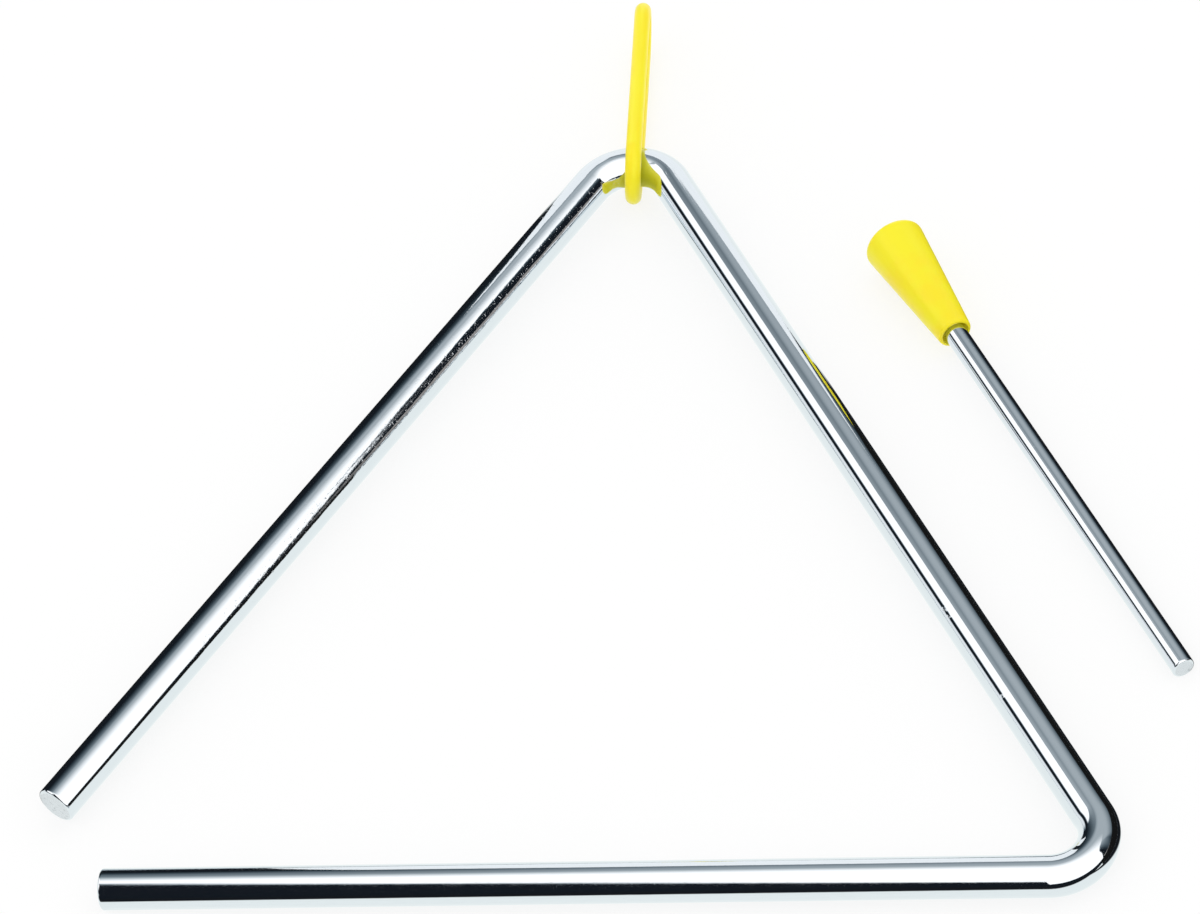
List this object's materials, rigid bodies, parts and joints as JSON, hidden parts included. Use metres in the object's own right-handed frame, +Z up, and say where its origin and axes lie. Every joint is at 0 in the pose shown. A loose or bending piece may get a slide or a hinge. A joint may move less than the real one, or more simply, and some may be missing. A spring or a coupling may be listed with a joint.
{
  "type": "triangle instrument",
  "caption": "Bent steel rod in an open triangle, with a moulded hanging loop at the top bend and a rod beater with a tapered handle beside it.",
  "frame": {"origin": "bottom centre of the whole set's box, as it lies on a flat surface", "axes": "+Z up from the surface, +Y from the bottom leg to the top bend, +X along the bottom leg to the right bend"},
  "size_m": [0.1736, 0.18, 0.0121],
  "materials": {
    "chrome_rod": "polished",
    "chrome_beater": "polished",
    "yellow_loop": "glossy, slightly translucent",
    "yellow_handle": "glossy"
  },
  "bodies": {
    "triangle": {"triangle_rod": "chrome_rod"},
    "loop": {"hanging_loop": "yellow_loop"},
    "beater": {"beater_rod": "chrome_beater", "beater_handle": "yellow_handle"}
  },
  "joints": [
    {"name": "loop_swing", "type": "hinge", "parent": "triangle", "child": "loop", "pos_m": [-0.00687, 0.05512, 0.00605], "axis": [1, 0, 0], "continuous": true},
    {"name": "beater_lift", "type": "slide", "parent": "triangle", "child": "beater", "axis": [0, 0, 1], "range_m": [0, 0.15]}
  ]
}
